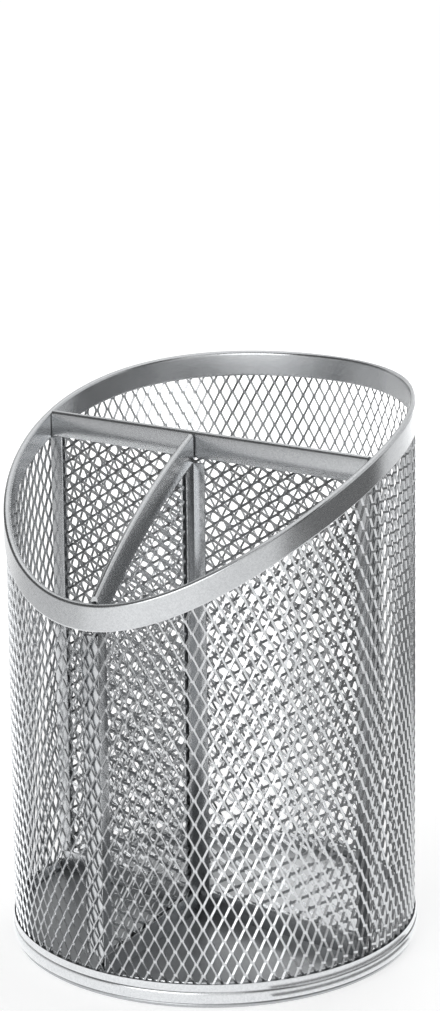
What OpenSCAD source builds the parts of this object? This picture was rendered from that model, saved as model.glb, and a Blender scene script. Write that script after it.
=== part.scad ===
// Pen cup of expanded metal with three compartments.
// The round wall is cut to an arc in side view, low at the front and high at the back.
// One long divider crosses the cup, and a short one runs from its middle to the low front.
// Origin: centre of the foot, on the table. X runs along the long divider, Y to the high back.

/* [Cup] */
// Width of the cup across its rim
cup_d = 110; // [90:1:140]
// Height of the rim at the low front
low_h = 103; // [80:0.5:125]
// Height of the rim at the high back
high_h = 150; // [130:0.5:170]
// How far the rim halfway round bulges above the straight line from front to back
arch_rise = 12; // [6:0.5:20]

/* [Sheet] */
// Thickness of the expanded metal
mesh_t = 0.9; // [0.6:0.1:1.4]
// Thickness of the folded strips that bind its edges
strip_t = 0.4; // [0.3:0.1:0.8]
// Play left between pieces that nest
fit_gap = 0.1; // [0.05:0.05:0.3]
// Play left where the end of one piece stands against another
end_gap = 0.2; // [0.1:0.05:0.4]

/* [Wall mesh] */
// Staves that the wall's sheet is made of, joined at the bonds of its diamonds
wall_staves = 16; // [12:1:20]
// Diamonds in one row of a stave
stave_cells = 3; // [2:1:4]
// Hairline joint between two staves
stave_joint = 0.1; // [0.05:0.05:0.2]
// Height of one diamond of the wall, from bond to bond
wall_cell_h = 12.3; // [9:0.1:20]
// Width of the strands
strand_w = 1.5; // [0.8:0.1:2.2]

/* [Rim] */
// Height of the folded strip along the rim
rim_h = 7; // [4:0.5:12]

/* [Base] */
// Height of the rolled ring round the foot of the wall
ring_h = 5; // [4:0.5:10]
// How far the bead of that ring stands out
bead_out = 0.25; // [0.1:0.05:0.5]
// Radius of the bead in section
bead_r = 1.6; // [1:0.1:2.4]
// Thickness of the floor sheet
floor_t = 0.6; // [0.4:0.1:1.2]
// Height of the top of the floor above the table
floor_z = 4; // [3:0.25:6]
// Height of the curled foot under the ring
foot_h = 1.5; // [1:0.1:2]

/* [Dividers] */
// Height of the folded caps along the top of the dividers
cap_h = 7; // [4:0.5:12]
// Height of the folded rails along the bottom of the dividers
rail_h = 6; // [4:0.5:12]
// Width of the folded posts at the ends of the dividers
post_w = 3.5; // [2.5:0.5:10]
// Width of the flanges that lie against the neighbouring piece
flange_w = 3.5; // [2.5:0.5:8]
// How far the long divider stands in front of the centre
long_forward = 2.5; // [0:0.5:6]
// How far left of the centre the short divider meets the long one
short_left = 3.5; // [0:0.5:8]
// Turn of the short divider away from square, towards the right
short_turn = 9; // [0:1:15]
// Length of one diamond of the dividers, which lie on their side
panel_cell_w = 12.2; // [9:0.1:20]
// Height of one diamond of the dividers
panel_cell_h = 8; // [5:0.5:12]

/* [Hidden] */
$fn = 120;
arc_fn = 360;
bead_fn = 48;

// The rim in side view is a circle through its low, middle and high points
rim_r = cup_d / 2;
mid_h = (low_h + high_h) / 2 + arch_rise;
arc_z = (2 * pow(mid_h, 2) - pow(low_h, 2) - pow(high_h, 2) - 2 * pow(rim_r, 2)) / (4 * arch_rise);
arc_y = (pow(mid_h, 2) - pow(low_h, 2) - pow(rim_r, 2) - 2 * (mid_h - low_h) * arc_z) / (2 * rim_r);
arc_r = norm([arc_y, mid_h - arc_z]);
function rim_z(y) = arc_z + sqrt(pow(arc_r, 2) - pow(y - arc_y, 2));

// Radii of the sleeve that the wall and its bindings share, from outside in
wall_r = rim_r - strip_t - fit_gap;
wall_in_r = wall_r - mesh_t;
skin_r = wall_in_r - fit_gap;
skin_in_r = skin_r - strip_t;

// Heights at the foot
ring_z = foot_h;
wall_z = ring_z + strip_t + fit_gap;
pan_r = skin_in_r - fit_gap;
rail_top = floor_z + rail_h;

// Thickness of a divider over its folded strips, and of the slot in them
panel_t = mesh_t + 2 * (strip_t + fit_gap);
slot_t = mesh_t + 2 * fit_gap;

// The long divider: its level top and where its ends stop
long_y = -long_forward;
long_top = rim_z(long_y);
long_far = long_forward + panel_t / 2;
long_end = sqrt(pow(skin_in_r - end_gap, 2) - pow(long_far, 2));
long_slot_end = long_end - strip_t - end_gap;

// The short divider: from the front face of the long one to the wall
short_x = -short_left;
short_y = long_y - panel_t / 2;
short_start = panel_t / 2 * tan(short_turn) + strip_t + end_gap;
short_reach = cup_d;

// Half sizes of the gap left in a diamond cell by strands of width w
function gap_scale(a, b, w) = 1 - w / 2 * norm([a, b]) / (a * b);
function diamond(a, b, w) =
    let (k = gap_scale(a, b, w)) [[a * k, 0], [0, b * k], [-a * k, 0], [0, -b * k]];

wall_cells = wall_staves * stave_cells;
wall_cell_w = 2 * PI * wall_r / wall_cells;
stave_turn = 360 / wall_staves;
joint_turn = stave_joint / (wall_r * PI / 180);
wall_gap = diamond(wall_cell_w / 2, wall_cell_h / 2, strand_w);
panel_gap = diamond(panel_cell_w / 2, panel_cell_h / 2, strand_w);

// Round sleeve between two radii and two heights
module sleeve(outer, inner, z0, z1) {
    difference() {
        translate([0, 0, z0]) cylinder(r = outer, h = z1 - z0);
        translate([0, 0, z0 - 1]) cylinder(r = inner, h = z1 - z0 + 2);
    }
}

// Everything that lies under the arc of the rim, less an inset, or under that arc when it is lowered
module under_rim(inset, drop = 0) {
    translate([0, arc_y, arc_z - drop]) rotate([0, 90, 0])
        cylinder(r = arc_r - inset, h = 2 * cup_d, center = true, $fn = arc_fn);
}

// One upright column of the wall's gaps, from the foot to the edge under the rim band
module gap_column(column) {
    turn = column * 180 / wall_cells;
    start = wall_z + wall_cell_h / 2 * (1 + column % 2);
    rotate([0, 0, turn]) translate([wall_r + 1, 0, 0]) rotate([90, 0, -90])
        linear_extrude(mesh_t + 2)
            for (z = [start : wall_cell_h : rim_z(wall_r * sin(turn))])
                translate([0, z]) polygon(wall_gap);
}

// One stave of the wall, cut half way through the diamonds at its two sides
module wall_stave(k) {
    difference() {
        intersection() {
            rotate([0, 0, k * stave_turn + joint_turn / 2])
                rotate_extrude(angle = stave_turn - joint_turn)
                    translate([wall_in_r, wall_z]) square([mesh_t, high_h - wall_z]);
            under_rim(0, strip_t + fit_gap);
        }
        for (column = [2 * k * stave_cells : 2 * (k + 1) * stave_cells]) gap_column(column);
    }
}

// Gaps of a flat panel in the XZ plane, between the given sides and heights
module panel_gaps(x0, x1, z0, z1) {
    columns = floor((x1 - x0) / panel_cell_w * 2) - 1;
    rows = floor((z1 - z0) / panel_cell_h);
    margin = (x1 - x0 - (columns + 1) * panel_cell_w / 2) / 2;
    for (i = [0 : columns - 1])
        for (j = [0 : rows - 1 - i % 2])
            translate([x0 + margin + (i + 1) * panel_cell_w / 2, mesh_t,
                    z0 + (j + 0.5 + i % 2 / 2) * panel_cell_h])
                rotate([90, 0, 0]) linear_extrude(2 * mesh_t) polygon(panel_gap);
}

// Room for a post inside the wall: it stands clear of the rim band's inner skin
module inside_wall() {
    cylinder(r = skin_in_r - end_gap, h = high_h);
    intersection() {
        cylinder(r = skin_r, h = high_h);
        under_rim(0, rim_h + fit_gap);
    }
}

// Curved flange against the wall, where the children are
module wall_flange() {
    intersection() {
        sleeve(skin_r, skin_in_r, 0, high_h);
        under_rim(0, rim_h + fit_gap);
        children();
    }
}

module wall_mesh() {
    color("silver")
    for (k = [0 : wall_staves - 1]) wall_stave(k);
}

module rim_band() {
    color("lightgray")
    difference() {
        intersection() {
            sleeve(rim_r, skin_in_r, low_h - 2 * rim_h, high_h + 1);
            under_rim(0);
        }
        under_rim(0, rim_h);
        intersection() {
            sleeve(wall_r + fit_gap, skin_r, low_h - 3 * rim_h, high_h + 1);
            under_rim(0, strip_t);
        }
    }
}

module base_ring() {
    color("lightgray")
    rotate_extrude() {
        difference() {
            translate([skin_in_r, ring_z]) square([rim_r - skin_in_r, ring_h]);
            translate([skin_r, ring_z + strip_t]) square([slot_t, ring_h]);
        }
        intersection() {
            translate([rim_r + bead_out - bead_r, ring_z + bead_r]) circle(bead_r, $fn = bead_fn);
            translate([wall_r + fit_gap, ring_z]) square([bead_r, ring_h]);
        }
    }
}

module floor_pan() {
    color("darkgray")
    rotate_extrude() {
        translate([0, floor_z - floor_t]) square([pan_r, floor_t]);
        translate([pan_r - floor_t, 0]) square([floor_t, floor_z]);
        translate([pan_r - floor_t, 0]) square([wall_r - foot_h / 2 - pan_r + floor_t, foot_h]);
        translate([wall_r - foot_h / 2, foot_h / 2]) circle(foot_h / 2, $fn = bead_fn);
    }
}

module long_mesh() {
    color("silver")
    translate([0, long_y, 0])
    difference() {
        translate([-long_slot_end, -mesh_t / 2, floor_z + strip_t + fit_gap])
            cube([2 * long_slot_end, mesh_t, long_top - floor_z - 2 * (strip_t + fit_gap)]);
        panel_gaps(-long_slot_end, long_slot_end, rail_top - panel_cell_h / 2, long_top - strip_t);
    }
}

module long_cap() {
    color("lightgray")
    translate([0, long_y, 0])
    difference() {
        translate([-long_end, -panel_t / 2, long_top - cap_h]) cube([2 * long_end, panel_t, cap_h]);
        translate([-long_end - 1, -slot_t / 2, long_top - cap_h - 1])
            cube([2 * long_end + 2, slot_t, cap_h + 1 - strip_t]);
    }
}

module long_rail() {
    color("lightgray")
    translate([0, long_y, 0])
    difference() {
        translate([-long_end, -panel_t / 2, floor_z]) cube([2 * long_end, panel_t, rail_h]);
        translate([-long_end - 1, -slot_t / 2, floor_z + strip_t]) cube([2 * long_end + 2, slot_t, rail_h]);
    }
}

// Post at the right end; its flange lies on the wall behind the divider
module long_post() {
    post_h = long_top - cap_h - rail_top;
    inner_x = long_end - post_w;
    difference() {
        intersection() {
            translate([inner_x, long_y - panel_t / 2, rail_top]) cube([2 * post_w, panel_t, post_h]);
            inside_wall();
        }
        translate([inner_x - 1, long_y - slot_t / 2, rail_top - 1])
            cube([long_slot_end + fit_gap - inner_x + 1, slot_t, post_h + 2]);
    }
    wall_flange()
        translate([0, long_y, rail_top]) cube([cup_d, panel_t / 2 + flange_w, post_h]);
}

module long_left_post() {
    color("lightgray") mirror([1, 0, 0]) long_post();
}

module long_right_post() {
    color("lightgray") long_post();
}

// Stands a piece of the short divider in place; in its own frame it runs along -Y
module on_short_line() {
    translate([short_x, short_y, 0]) rotate([0, 0, short_turn]) children();
}

// Strip of the short divider's plane, of thickness t, from one distance to another
module short_strip(t, s0, s1, z0, z1) {
    on_short_line() translate([-t / 2, -s1, z0]) cube([t, s1 - s0, z1 - z0]);
}

// Distance along the short divider at which it reaches a circle round the centre
function short_to(r) =
    let (ux = sin(short_turn), uy = -cos(short_turn),
        along = short_x * ux + short_y * uy,
        off = abs(short_x * uy - short_y * ux) + panel_t / 2)
    sqrt(pow(r, 2) - pow(off, 2)) - along;

short_end = short_to(skin_in_r - end_gap);
short_slot_end = short_end - strip_t - end_gap;
short_slot_start = short_start + strip_t + end_gap;

module short_mesh() {
    color("silver")
    difference() {
        intersection() {
            short_strip(mesh_t, short_slot_start, short_slot_end, floor_z + strip_t + fit_gap, high_h);
            under_rim(strip_t + fit_gap);
        }
        on_short_line() rotate([0, 0, -90])
            panel_gaps(short_slot_start, short_slot_end, rail_top - panel_cell_h / 2, long_top);
    }
}

module short_cap() {
    color("lightgray")
    difference() {
        intersection() {
            short_strip(panel_t, short_start, short_end, low_h - 2 * cap_h, high_h);
            under_rim(0);
        }
        under_rim(cap_h);
        intersection() {
            short_strip(slot_t, 0, short_reach, low_h - 3 * cap_h, high_h);
            under_rim(strip_t);
        }
    }
}

module short_rail() {
    color("lightgray")
    difference() {
        short_strip(panel_t, short_start, short_end, floor_z, rail_top);
        short_strip(slot_t, 0, short_reach, floor_z + strip_t, rail_top + 1);
    }
}

// Post against the wall; its flange folds to the left
module short_wall_post() {
    color("lightgray")
    intersection() {
        under_rim(cap_h + fit_gap);
        union() {
            difference() {
                intersection() {
                    short_strip(panel_t, short_end - post_w, short_reach, rail_top, high_h);
                    inside_wall();
                }
                short_strip(slot_t, 0, short_slot_end + fit_gap, rail_top - 1, high_h + 1);
            }
            wall_flange()
                on_short_line() translate([-panel_t / 2 - flange_w, -short_reach, rail_top])
                    cube([panel_t / 2 + flange_w, short_reach, high_h]);
        }
    }
}

// Post at the long divider; its flange folds to the right and lies on that divider's face
module short_inner_post() {
    color("lightgray")
    intersection() {
        under_rim(cap_h + fit_gap);
        translate([short_x, short_y, rail_top]) linear_extrude(high_h) {
            difference() {
                rotate(short_turn) translate([-panel_t / 2, -short_start - post_w])
                    square([panel_t, 2 * post_w]);
                rotate(short_turn) translate([-slot_t / 2, fit_gap - short_slot_start - 2 * post_w])
                    square([slot_t, 2 * post_w]);
                translate([-cup_d / 2, -fit_gap - strip_t / 2]) square(cup_d);
            }
            translate([-panel_t / 2, -fit_gap - strip_t]) square([panel_t + flange_w, strip_t]);
        }
    }
}

wall_mesh();
rim_band();
base_ring();
floor_pan();
long_mesh();
long_cap();
long_rail();
long_left_post();
long_right_post();
short_mesh();
short_cap();
short_rail();
short_wall_post();
short_inner_post();
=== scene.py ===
import math
import bmesh
import bpy
from mathutils import Matrix, Vector


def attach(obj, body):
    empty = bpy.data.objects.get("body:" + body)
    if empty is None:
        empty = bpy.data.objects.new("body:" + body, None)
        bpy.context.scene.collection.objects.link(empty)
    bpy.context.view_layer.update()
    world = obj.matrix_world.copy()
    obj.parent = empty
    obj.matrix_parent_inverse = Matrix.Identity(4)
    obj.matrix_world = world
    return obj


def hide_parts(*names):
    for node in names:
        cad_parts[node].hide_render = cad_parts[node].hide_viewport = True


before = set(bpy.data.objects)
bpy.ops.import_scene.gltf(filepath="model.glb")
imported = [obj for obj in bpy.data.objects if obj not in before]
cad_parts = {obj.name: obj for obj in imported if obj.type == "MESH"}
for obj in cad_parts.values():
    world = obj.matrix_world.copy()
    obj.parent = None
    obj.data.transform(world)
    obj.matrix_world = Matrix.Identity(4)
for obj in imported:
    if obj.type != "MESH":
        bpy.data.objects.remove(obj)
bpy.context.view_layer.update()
scene = bpy.context.scene
mm = 0.001  # pieces are drawn in millimetres and finished in metres
print("packed frame loaded")

# the rim in side view is a circle through its low, middle and high points
cup = {"radius": 55.0, "lowHeight": 103.0, "midHeight": 138.5, "highHeight": 150.0}


def rimCircle():
    low, mid, high, r = cup["lowHeight"], cup["midHeight"], cup["highHeight"], cup["radius"]
    centreZ = (2 * mid ** 2 - low ** 2 - high ** 2 - 2 * r ** 2) / (2 * (2 * mid - low - high))
    centreY = (mid ** 2 - low ** 2 - r ** 2 - 2 * (mid - low) * centreZ) / (2 * r)
    return centreY, centreZ, math.hypot(centreY, mid - centreZ)


arcY, arcZ, arcR = rimCircle()


def rimHeight(y):
    return arcZ + math.sqrt(arcR ** 2 - (y - arcY) ** 2)


def rimSlope(y):
    return (arcY - y) / (rimHeight(y) - arcZ)


# materials

def linearColour(hexCode):
    channels = [int(hexCode[i:i + 2], 16) / 255 for i in (0, 2, 4)]
    return [c / 12.92 if c <= 0.04045 else ((c + 0.055) / 1.055) ** 2.4 for c in channels] + [1.0]


def emptyTree(block):
    block.use_nodes = True
    block.node_tree.nodes.clear()
    return block.node_tree


def addNode(tree, kind, settings=None, links=None):
    node = tree.nodes.new("ShaderNode" + kind)
    for name, value in (settings or {}).items():
        if isinstance(name, int) or name in node.inputs:
            node.inputs[name].default_value = value
        else:
            setattr(node, name, value)
    for name, source in (links or {}).items():
        tree.links.new(source, node.inputs[name])
    return node


sheenSpread = 0.04  # how far the roughness wanders either way


# silver polyester powder coat with aluminium flake: a soft sheen, a faint speckle of
# flakes and a slight orange peel; the sizes are in millimetres
# (a colour Mix node takes its two colours at sockets 6 and 7 and gives its result at 2)
def silverPowderCoat(name, look):
    material = bpy.data.materials.new(name)
    tree = emptyTree(material)
    place = addNode(tree, "TexCoord").outputs["Object"]
    cloud = addNode(tree, "TexNoise", {"Scale": 1 / (look["cloudSize"] * mm), "Detail": 3.0},
                    {"Vector": place})
    flakes = addNode(tree, "TexVoronoi", {"Scale": 1 / (look["flakeSize"] * mm)}, {"Vector": place})
    flakeGrey = addNode(tree, "SeparateColor", {}, {"Color": flakes.outputs["Color"]})
    tint = addNode(tree, "Mix", {"data_type": "RGBA", 6: linearColour(look["shade"]),
                                 7: linearColour(look["colour"])}, {0: cloud.outputs["Fac"]})
    glint = addNode(tree, "MapRange", {"To Min": 0.0, "To Max": look["flakeShare"]},
                    {"Value": flakeGrey.outputs[0]})
    coat = addNode(tree, "Mix", {"data_type": "RGBA", 7: linearColour(look["flake"])},
                   {0: glint.outputs[0], 6: tint.outputs[2]})
    sheen = addNode(tree, "MapRange", {"To Min": look["roughness"] - sheenSpread,
                                       "To Max": look["roughness"] + sheenSpread},
                    {"Value": cloud.outputs["Fac"]})
    peel = addNode(tree, "TexNoise", {"Scale": 1 / (look["peelSize"] * mm), "Detail": 2.0},
                   {"Vector": place})
    bump = addNode(tree, "Bump", {"Strength": look["peelStrength"], "Distance": look["peelDepth"] * mm},
                   {"Height": peel.outputs["Fac"]})
    shader = addNode(tree, "BsdfPrincipled", {"Metallic": look["metallic"]},
                     {"Base Color": coat.outputs[2], "Roughness": sheen.outputs[0],
                      "Normal": bump.outputs[0]})
    addNode(tree, "OutputMaterial", {}, {"Surface": shader.outputs[0]})
    return material


meshCoat = silverPowderCoat("silverPowderCoatOnExpandedSteel", {
    "colour": "B8BABC", "shade": "AAACAE", "flake": "DCDDDE", "flakeShare": 0.30,
    "roughness": 0.25, "metallic": 0.92, "cloudSize": 6.0, "flakeSize": 0.30,
    "peelSize": 0.9, "peelStrength": 0.25, "peelDepth": 0.03})
stripLook = {
    "colour": "B8BABC", "shade": "ACAEB0", "flake": "DEDFE0", "flakeShare": 0.25,
    "roughness": 0.24, "metallic": 0.95, "cloudSize": 9.0, "flakeSize": 0.35,
    "peelSize": 1.4, "peelStrength": 0.20, "peelDepth": 0.03}
stripCoat = silverPowderCoat("silverPowderCoatOnFoldedSteel", stripLook)
# painted light: the base ring gets the strip's coat in lighter colours, which stand in for the brighter
# floor and the highlight that the ring mirrors
ringCoatPaintedLighter = silverPowderCoat("silverPowderCoatPaintedLighterForRing",
                            dict(stripLook, colour="C4C6C8", shade="BABCBE", flake="E8E9EA"))
# painted shade: the floor inside the cup gets the coat in darker colours, which stand in for the shade that
# falls there
floorCoatPaintedDarker = silverPowderCoat("silverPowderCoatPaintedDarkerForFloor", {
    "colour": "A2A4A6", "shade": "949698", "flake": "C8C9CA", "flakeShare": 0.20,
    "roughness": 0.30, "metallic": 0.92, "cloudSize": 14.0, "flakeSize": 0.40,
    "peelSize": 1.6, "peelStrength": 0.25, "peelDepth": 0.03})
print("materials made")


sharpAngle = 40  # degrees; flatter edges are shaded smooth


def finishPiece(bm, name, finish, node):
    bmesh.ops.recalc_face_normals(bm, faces=bm.faces)
    bmesh.ops.scale(bm, vec=(mm, mm, mm), verts=bm.verts)
    mesh = bpy.data.meshes.new(name)
    bm.to_mesh(mesh)
    bm.free()
    mesh.shade_smooth()
    mesh.set_sharp_from_angle(angle=math.radians(sharpAngle))
    mesh.materials.append(finish)
    piece = bpy.data.objects.new(name, mesh)
    scene.collection.objects.link(piece)
    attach(piece, "root")
    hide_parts(node)
    return piece


bondLap = 0.02  # each row reaches this far into its neighbours at the bonds


# what an extrusion adds: its one far face
def grownFace(bm, face):
    grown = bmesh.ops.extrude_face_region(bm, geom=[face])["geom"]
    return [g for g in grown if isinstance(g, bmesh.types.BMFace)][0]


# expanded metal: slit and stretched sheet, so it is rows of wavy strands that meet at long
# bonds; every strand leans about the long way of the diamonds, like the slats of a blind
def strandRow(sheet, shortWay, length, side):
    lean = math.radians(sheet["lean"])
    across = Vector((math.cos(lean), -math.sin(lean), 0))
    through = Vector((math.sin(lean), math.cos(lean), 0))
    half, thin = sheet["strand"] / 2 + bondLap, sheet["thick"] / 2
    swing = Vector((shortWay / 4, 0, 0)) - across * sheet["strand"] / 2
    outline = [(-half, -thin), (half, -thin), (half, thin), (-half, thin)]
    bm = bmesh.new()
    end = bm.faces.new([bm.verts.new(side * swing + across * a + through * b) for a, b in outline])
    level, rise, bond = 0.0, sheet["longWay"] / 2 - sheet["bond"], sheet["bond"]
    moves = [Vector((0, 0, bond / 2))]
    while level < length:
        moves += [Vector((0, 0, rise)) - 2 * side * swing, Vector((0, 0, bond))]
        side = -side
        level += sheet["longWay"] / 2
    for move in moves:
        end = grownFace(bm, end)
        bmesh.ops.translate(bm, vec=move, verts=end.verts)
    return bm


# cuts away all beyond a plane and closes the cut
def cutOff(bm, point, outward):
    bmesh.ops.bisect_plane(bm, geom=bm.verts[:] + bm.edges[:] + bm.faces[:], dist=0.0001,
                           plane_co=point, plane_no=outward, clear_outer=True)
    bmesh.ops.holes_fill(bm, edges=bm.edges, sides=0)


def addCopy(whole, part):
    carrier = bpy.data.meshes.new("carrier")
    part.to_mesh(carrier)
    whole.from_mesh(carrier)
    bpy.data.meshes.remove(carrier)


wallSheet = {"cells": 96, "longWay": 6.15, "strand": 0.58, "thick": 0.32, "bond": 0.6, "lean": 25.0,
             "radius": 54.05, "foot": 2.4, "underCrest": 1.6}


# two rows of strands to a diamond, the second half a turn behind the first
def makeWall():
    rows = 2 * wallSheet["cells"]
    shortWay = 2 * math.pi * wallSheet["radius"] / wallSheet["cells"]
    height = cup["highHeight"] - wallSheet["foot"]
    kinds = [strandRow(wallSheet, shortWay, height, side) for side in (1, -1)]
    whole = bmesh.new()
    for row in range(rows):
        turn = 2 * math.pi * row / rows
        top = rimHeight(-wallSheet["radius"] * math.cos(turn)) - wallSheet["underCrest"]
        part = kinds[row % 2].copy()
        bmesh.ops.translate(part, vec=(0, -wallSheet["radius"], wallSheet["foot"]), verts=part.verts)
        cutOff(part, (0, 0, top), (0, 0, 1))
        bmesh.ops.rotate(part, cent=(0, 0, 0), matrix=Matrix.Rotation(turn, 3, "Z"), verts=part.verts)
        addCopy(whole, part)
        part.free()
    return finishPiece(whole, "wallMesh", meshCoat, "wall_mesh")


wall = makeWall()
print("wall mesh made,", len(wall.data.polygons), "faces")

dividers = {"forward": 2.5, "left": 3.5, "turn": 9.0, "thick": 1.9, "capHeight": 7.0, "meshFoot": 4.8,
            "underCrest": 1.2, "cutStep": 0.5, "shortestRow": 1.0,
            "longEnd": 52.79, "longMeshEnd": 52.0, "shortStart": 0.75, "shortMeshStart": 1.4,
            "shortEnd": 50.25, "shortMeshEnd": 49.6}
panelSheet = {"longWay": 6.1, "shortWay": 4.0, "strand": 0.76, "thick": 0.32, "bond": 0.7, "lean": 28.0}


# rows of strands that lie along X, stacked upwards, each as long as its height allows
def makePanel(start, stop, top):
    shortWay = panelSheet["shortWay"]
    kinds = [strandRow(panelSheet, shortWay, stop - start, side) for side in (1, -1)]
    quarter = Matrix.Rotation(math.pi / 2, 3, "Y")
    for kind in kinds:
        bmesh.ops.rotate(kind, cent=(0, 0, 0), matrix=quarter, verts=kind.verts)
    whole = bmesh.new()
    row, level = 0, dividers["meshFoot"] + shortWay / 4
    while level < top(start) or level < top(stop):
        part = kinds[row % 2].copy()
        bmesh.ops.translate(part, vec=(start, 0, level), verts=part.verts)
        reach = stop
        while reach > start and top(reach) < level:
            reach -= dividers["cutStep"]
        if reach > start + dividers["shortestRow"]:
            cutOff(part, (reach, 0, 0), (1, 0, 0))
            addCopy(whole, part)
        part.free()
        row += 1
        level += shortWay / 2
    return whole


# the line of the short divider: its own X runs from the long divider to the front
def shortLine():
    start = Vector((-dividers["left"], -dividers["forward"] - dividers["thick"] / 2, 0))
    turn = math.radians(dividers["turn"] - 90)
    return Matrix.Translation(start) @ Matrix.Rotation(turn, 4, "Z")


longTop = rimHeight(-dividers["forward"])
longPanel = makePanel(-dividers["longMeshEnd"], dividers["longMeshEnd"],
                      lambda along: longTop - dividers["underCrest"])
bmesh.ops.translate(longPanel, vec=(0, -dividers["forward"], 0), verts=longPanel.verts)
finishPiece(longPanel, "longDividerMesh", meshCoat, "long_mesh")

alongShort = shortLine()


def shortMeshTop(along):
    return rimHeight((alongShort @ Vector((along, 0, 0))).y) - dividers["underCrest"]


shortPanel = makePanel(dividers["shortMeshStart"], dividers["shortMeshEnd"], shortMeshTop)
bmesh.ops.transform(shortPanel, matrix=alongShort, verts=shortPanel.verts)
finishPiece(shortPanel, "shortDividerMesh", meshCoat, "short_mesh")
print("divider meshes made")


def spunPiece(profile, steps=240):
    bm = bmesh.new()
    corners = [bm.verts.new((r, 0, z)) for r, z in profile]
    edges = [bm.edges.new((corners[i - 1], corners[i])) for i in range(len(corners))]
    bmesh.ops.spin(bm, geom=corners + edges, cent=(0, 0, 0), axis=(0, 0, 1), dvec=(0, 0, 0),
                   angle=2 * math.pi, steps=steps, use_merge=True, use_duplicate=False)
    bmesh.ops.remove_doubles(bm, verts=bm.verts, dist=0.001)
    return bm


def roundedTop(middle, half, height, points=10):
    turns = [math.pi * i / points for i in range(points + 1)]
    return [(middle + half * math.cos(a), -height + height * math.sin(a)) for a in turns]


# a strip folded over the top edge of the wall, with a rounded crest
rim = {"height": 7.0, "inner": 53.1, "slotIn": 53.5, "slotOut": 54.6, "slotTop": -0.9, "crest": 0.8,
       "sideTop": -1.1, "sideLow": 0.4}
edge = {"in": 0.08, "up": 0.15}  # the small bevel on the cut edges of rim and ring


def makeRim():
    outer, inner, low = cup["radius"], rim["inner"], -rim["height"]
    slotIn, slotOut, slotTop = rim["slotIn"], rim["slotOut"], rim["slotTop"]
    sideTop, sideLow, bevelTop = rim["sideTop"], low + rim["sideLow"], low + edge["up"]
    profile = roundedTop((outer + inner) / 2, (outer - inner) / 2, rim["crest"])
    profile += [(inner, sideTop), (inner, sideLow), (inner, bevelTop), (inner + edge["in"], low),
                (slotIn - edge["in"], low), (slotIn, bevelTop), (slotIn, slotTop), (slotOut, slotTop),
                (slotOut, bevelTop), (slotOut + edge["in"], low), (outer - edge["in"], low),
                (outer, bevelTop), (outer, sideLow), (outer, sideTop)]
    bm = spunPiece(profile)
    for v in bm.verts:
        v.co.z += rimHeight(cup["radius"] * v.co.y / math.hypot(v.co.x, v.co.y))
    return finishPiece(bm, "rimBand", stripCoat, "rim_band")


makeRim()

# a rolled strip round the foot of the wall: a flat band, a bulge, and a turned-in lower edge
foot = {"ringTop": 6.5, "ringLow": 1.5, "bulgeTop": 4.6, "bulge": 0.25, "bulgeRoot": 0.15, "bulgePoints": 8,
        "bandLow": 0.05, "bandTop": 0.22, "lip": 0.27, "step": 0.25, "turnIn": 0.9, "slotLow": 0.5,
        "lowEdge": 0.1}


def makeBaseRing():
    outer, inner, slotIn, slotOut = cup["radius"], rim["inner"], rim["slotIn"], rim["slotOut"]
    top, low, crown = foot["ringTop"], foot["ringLow"], foot["bulgeTop"]
    bevelLow, slotLow = top - edge["up"], low + foot["slotLow"]
    profile = [(inner, bevelLow), (inner, low + foot["lowEdge"]), (inner + foot["lowEdge"], low),
               (outer - foot["turnIn"], low)]
    root, reach, middle = outer - foot["bulgeRoot"], foot["bulge"] + foot["bulgeRoot"], (crown + low) / 2
    for i in range(foot["bulgePoints"] + 1):
        a = math.pi * (i / foot["bulgePoints"] - 0.5)
        profile.append((root + reach * math.cos(a), middle + (crown - low) / 2 * math.sin(a)))
    profile += [(outer - foot["bandLow"], crown + foot["step"]),
                (outer - foot["bandTop"], top - foot["step"]),
                (outer - foot["lip"], top), (slotOut + edge["in"], top), (slotOut, bevelLow),
                (slotOut, slotLow), (slotIn, slotLow), (slotIn, bevelLow), (slotIn - edge["in"], top),
                (inner + edge["in"], top)]
    return finishPiece(spunPiece(profile), "baseRing", ringCoatPaintedLighter, "base_ring")


makeBaseRing()

# pressed floor sheet: a disc, turned down at its edge and curled out into the foot
pan = {"top": 4.0, "thick": 0.6, "radius": 53.0, "bend": 0.8, "curl": 0.75, "curlMiddle": 53.75,
       "curlStart": 1.55, "ease": 0.2,
       "bendTurns": (0.39, 0.79, 1.18, 1.57), "curlTurns": (1.1, 0.6, 0.2, -0.2, -0.6, -1.1)}


def makeFloor():
    top, thick, out, bend, ease = pan["top"], pan["thick"], pan["radius"], pan["bend"], pan["ease"]
    curl, middle, inside = pan["curl"], pan["curlMiddle"], out - thick
    profile = [(0, top), (out - bend, top)]
    profile += [(out - bend + bend * math.sin(a), top - bend + bend * math.cos(a)) for a in pan["bendTurns"]]
    profile += [(out, pan["curlStart"]), (middle, 2 * curl)]
    profile += [(middle + curl * math.cos(a), curl + curl * math.sin(a)) for a in pan["curlTurns"]]
    profile += [(middle, 0), (inside + ease, 0), (inside, ease), (inside, top - bend - ease),
                (out - bend, top - thick), (0, top - thick)]
    return finishPiece(spunPiece(profile), "floorPan", floorCoatPaintedDarker, "floor_pan")


makeFloor()
print("rim, base ring and floor made")


# folded caps over the dividers: a crowned outside, a rounded crest and a slot for the mesh
cap = {"crest": 0.8, "skin": 0.4, "crown": 0.06, "crownTop": -2.6, "crownLow": -3.8, "slotTop": -0.9,
       "edgeIn": 0.08, "edgeUp": 0.12}


def capProfile():
    half, low = dividers["thick"] / 2, -dividers["capHeight"]
    bulged, slot, bevelTop = half + cap["crown"], half - cap["skin"], low + cap["edgeUp"]
    side = [(bulged, cap["crownTop"]), (bulged, cap["crownLow"]),
            (half, bevelTop), (half - cap["edgeIn"], low),
            (slot + cap["edgeIn"], low), (slot, bevelTop), (slot, cap["slotTop"])]
    crest = roundedTop(0, half, cap["crest"])
    return crest + [(-a, z) for a, z in side] + [(a, z) for a, z in reversed(side)]


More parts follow.
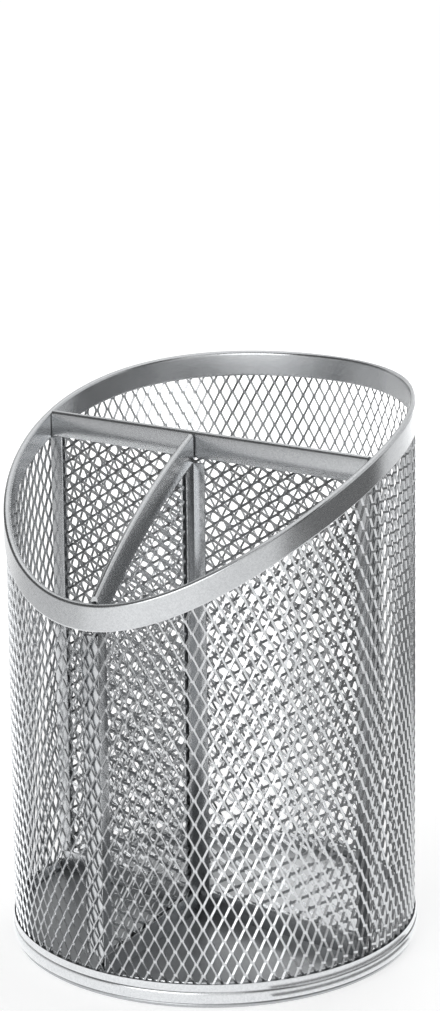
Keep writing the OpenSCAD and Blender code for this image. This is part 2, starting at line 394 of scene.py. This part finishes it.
# extruded along X, carried to its place by line, then draped over the curve of the rim
def makeCap(start, stop, steps, line, top, slope, name, node):
    bm = bmesh.new()
    end = bm.faces.new([bm.verts.new((start, a, z)) for a, z in capProfile()])
    for step in range(steps):
        end = grownFace(bm, end)
        bmesh.ops.translate(bm, vec=((stop - start) / steps, 0, 0), verts=end.verts)
    bmesh.ops.transform(bm, matrix=line, verts=bm.verts)
    for v in bm.verts:
        v.co.z = top(v.co.y) + v.co.z * math.sqrt(1 + slope(v.co.y) ** 2)
    return finishPiece(bm, name, stripCoat, node)


makeCap(-dividers["longEnd"], dividers["longEnd"], 1, Matrix.Translation((0, -dividers["forward"], 0)),
        lambda y: longTop, lambda y: 0.0, "longDividerCap", "long_cap")
makeCap(dividers["shortStart"], dividers["shortEnd"], 36, alongShort, rimHeight, rimSlope,
        "shortDividerCap", "short_cap")


copied = {"weld": 0.002, "flat": 1, "fold": 30, "round": 0.12}  # millimetres and degrees


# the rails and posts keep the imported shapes, with their folds and cut edges rounded
def roundedCopy(node, name):
    bm = bmesh.new()
    bm.from_mesh(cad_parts[node].data)
    bmesh.ops.scale(bm, vec=(1 / mm, 1 / mm, 1 / mm), verts=bm.verts)
    bmesh.ops.remove_doubles(bm, verts=bm.verts, dist=copied["weld"])
    bmesh.ops.dissolve_limit(bm, angle_limit=math.radians(copied["flat"]), verts=bm.verts, edges=bm.edges)
    sharp = [e for e in bm.edges if e.is_manifold and e.calc_face_angle(0) > math.radians(copied["fold"])]
    bmesh.ops.bevel(bm, geom=sharp, offset=copied["round"], offset_type="OFFSET", segments=2, profile=0.5,
                    affect="EDGES", material=-1, clamp_overlap=True)
    return finishPiece(bm, name, stripCoat, node)


for node, name in (("long_rail", "longDividerRail"), ("short_rail", "shortDividerRail"),
                   ("long_left_post", "longLeftPost"), ("long_right_post", "longRightPost"),
                   ("short_wall_post", "shortWallPost"), ("short_inner_post", "shortInnerPost")):
    roundedCopy(node, name)
print("caps, rails and posts made")

# camera, fitted to the rim, the base and both sides of the wall
view = {"turn": 37.71, "distance": 11.470, "sideways": 0.0549, "height": 4.867, "pitch": 9.307,
        "roll": -0.630, "focal": 2429.0, "shift": -175.0, "frameHeight": 1011.0}


def fromCamera(right, away, up):  # metres, in a frame turned with the camera, to the cup's own frame
    turned = Matrix.Rotation(math.radians(view["turn"]), 3, "Z") @ Vector((right, away, 0))
    return Vector((turned.x, turned.y, up))


def makeCamera():
    radius = cup["radius"] * mm
    spot = fromCamera(view["sideways"] * radius, -view["distance"] * radius, view["height"] * radius)
    pitch, roll = math.radians(view["pitch"]), math.radians(view["roll"])
    right = fromCamera(1, 0, 0)
    ahead = fromCamera(0, math.cos(pitch), -math.sin(pitch))
    up = right.cross(ahead)
    right, up = (math.cos(roll) * right + math.sin(roll) * up, math.cos(roll) * up - math.sin(roll) * right)
    camera = bpy.data.objects.new("camera", bpy.data.cameras.new("camera"))
    scene.collection.objects.link(camera)
    camera.matrix_world = Matrix.Translation(spot) @ Matrix((right, up, -ahead)).transposed().to_4x4()
    camera.data.sensor_width = 36
    camera.data.lens = 36 * view["focal"] / view["frameHeight"]
    camera.data.shift_y = view["shift"] / view["frameHeight"]
    camera.data.clip_start = 0.01
    scene.camera = camera


makeCamera()
scene.view_settings.view_transform = "Standard"

# plain studio: a pale floor, a white surround and three soft lamps; a strength of 1 is white
studio = {"surround": 0.35, "floorWhite": "F4F4F4", "floorSize": 14.0, "floorGlow": 0.70}
# painted shade: the floor glows less near the foot, which keeps the shadow and also darkens the floor round
# the foot;
# painted light: it glows more near the foot where only the coat mirrors it; the distances are from the
# middle of the foot, in metres
seenGlowWithPaintedShade = {"From Min": 0.08, "From Max": 0.5, "To Min": 0.50, "To Max": studio["floorGlow"]}
mirroredGlowWithPaintedLight = {"From Min": 0.2, "From Max": 0.45, "To Min": 1.0, "To Max": studio["floorGlow"]}


# 1 for what the camera, metal or glass sees, and 0 for what lights the object
def seenDirectly(tree, seen):
    either = addNode(tree, "Math", {"operation": "MAXIMUM"},
                     {0: seen.outputs["Is Camera Ray"], 1: seen.outputs["Is Glossy Ray"]})
    either = addNode(tree, "Math", {"operation": "MAXIMUM"},
                     {0: either.outputs[0], 1: seen.outputs["Is Transmission Ray"]})
    return either.outputs[0]


def makeSurround():
    world = bpy.data.worlds.new("studioWhite")
    scene.world = world
    tree = emptyTree(world)
    direct = seenDirectly(tree, addNode(tree, "LightPath"))
    strength = addNode(tree, "MapRange", {"To Min": studio["surround"], "To Max": 1.0}, {"Value": direct})
    light = addNode(tree, "Background", {"Color": (1, 1, 1, 1)}, {"Strength": strength.outputs[0]})
    addNode(tree, "OutputWorld", {}, {"Surface": light.outputs[0]})


def stagePiece(bm, name, material):
    mesh = bpy.data.meshes.new(name)
    bm.to_mesh(mesh)
    bm.free()
    mesh.materials.append(material)
    piece = bpy.data.objects.new(name, mesh)
    scene.collection.objects.link(piece)
    return piece


# (a number Mix node takes its two numbers at sockets 2 and 3)
def whitePaper():
    material = bpy.data.materials.new("matWhitePaper")
    tree = emptyTree(material)
    paper = addNode(tree, "BsdfDiffuse", {"Color": linearColour(studio["floorWhite"])})
    seen = addNode(tree, "LightPath")
    direct = seenDirectly(tree, seen)
    place = addNode(tree, "TexCoord").outputs["Object"]
    far = addNode(tree, "VectorMath", {"operation": "LENGTH"}, {0: place}).outputs["Value"]
    # painted shade for the camera and painted light for the coat: the glow changes with the distance from
    # the foot
    plain = addNode(tree, "MapRange", seenGlowWithPaintedShade, {"Value": far})
    mirrored = addNode(tree, "MapRange", mirroredGlowWithPaintedLight, {"Value": far})
    chosen = addNode(tree, "Mix", {"data_type": "FLOAT"},
                     {0: seen.outputs["Is Glossy Ray"], 2: plain.outputs[0], 3: mirrored.outputs[0]})
    strength = addNode(tree, "Math", {"operation": "MULTIPLY"}, {0: direct, 1: chosen.outputs[0]})
    glow = addNode(tree, "Emission", {"Color": (1, 1, 1, 1)}, {"Strength": strength.outputs[0]})
    both = addNode(tree, "AddShader", {}, {0: paper.outputs[0], 1: glow.outputs[0]})
    addNode(tree, "OutputMaterial", {}, {"Surface": both.outputs[0]})
    return material


def makeStage():
    bm = bmesh.new()
    bmesh.ops.create_grid(bm, x_segments=1, y_segments=1, size=studio["floorSize"])
    stagePiece(bm, "studioFloor", whitePaper())


# an even grey that only the coat mirrors: it gives the silver its darker sides
def makeCard(name, grey, corners):
    bm = bmesh.new()
    bm.faces.new([bm.verts.new(fromCamera(*corner)) for corner in corners])
    material = bpy.data.materials.new("greyCard")
    tree = emptyTree(material)
    tone = addNode(tree, "Emission", {"Color": linearColour(grey)})
    addNode(tree, "OutputMaterial", {}, {"Surface": tone.outputs[0]})
    card = stagePiece(bm, name, material)
    card.visible_camera = card.visible_diffuse = card.visible_shadow = False


# an upright card between two places on the floor, from low to high
def uprightCorners(start, stop, low, high):
    return [(*start, low), (*stop, low), (*stop, high), (*start, high)]


# a card that lies beside the foot, from near to far and between two turns round the cup
def arcCorners(near, far, start, stop, steps=12, height=0.001):
    turns = [math.radians(start + (stop - start) * i / steps) for i in range(steps + 1)]
    return ([(near * math.sin(a), -near * math.cos(a), height) for a in turns]
            + [(far * math.sin(a), -far * math.cos(a), height) for a in reversed(turns)])


# (right, away) from the cup as the camera sees it, and heights, in metres
cards = {
    "rightCard": ("7C7C7C", uprightCorners((0.28, -0.38), (0.28, 0.04), 0.0, 0.14)),
    "leftCard": ("F0F0F0", uprightCorners((-0.30, -0.12), (-0.30, 0.25), 0.0, 0.13)),
    "leftHighCard": ("606060", uprightCorners((-0.45, -0.35), (-0.45, 0.40), 0.13, 0.9)),
    "keyHighCard": ("7C7C7C", uprightCorners((-0.95, -0.55), (-0.15, -1.05), 0.6, 1.6)),
    "frontCard": ("404040", uprightCorners((0.25, -0.85), (0.9, -0.85), 0.15, 1.3)),
    # painted shadow: a grey sheet beside the foot that the ring mirrors as the cup's shade on the floor
    "footShadowCard": ("989898", arcCorners(0.0575, 0.0625, 16, 75)),
    "rightBackCard": ("404040", uprightCorners((0.150, 0.03), (0.075, 0.14), 0.0, 0.09))}

# right, away and up from the cup as the camera sees it, in metres, and watts
lamps = {
    "keySoftbox": {"place": (-0.38, -0.70, 0.29), "aim": (0, 0, 0.07), "size": (0.58, 0.4), "power": 1.9},
    "topSoftbox": {"place": (-0.1, 0.2, 1.1), "aim": (0, 0, 0.05), "size": (0.9, 0.9), "power": 1.0},
    "sideSoftbox": {"place": (0.34, 0.72, 0.27), "aim": (0, 0, 0.07), "size": (0.6, 0.5), "power": 2.4}}


def makeLamp(name, softbox):
    lamp = bpy.data.objects.new(name, bpy.data.lights.new(name, "AREA"))
    scene.collection.objects.link(lamp)
    lamp.data.shape = "RECTANGLE"
    lamp.data.size, lamp.data.size_y = softbox["size"]
    lamp.data.energy = softbox["power"]
    spot = fromCamera(*softbox["place"])
    turned = (fromCamera(*softbox["aim"]) - spot).to_track_quat("-Z", "Y")
    lamp.matrix_world = Matrix.Translation(spot) @ turned.to_matrix().to_4x4()


makeSurround()
makeStage()
for name, (grey, corners) in cards.items():
    makeCard(name, grey, corners)
for name, softbox in lamps.items():
    makeLamp(name, softbox)
print("camera and studio made")
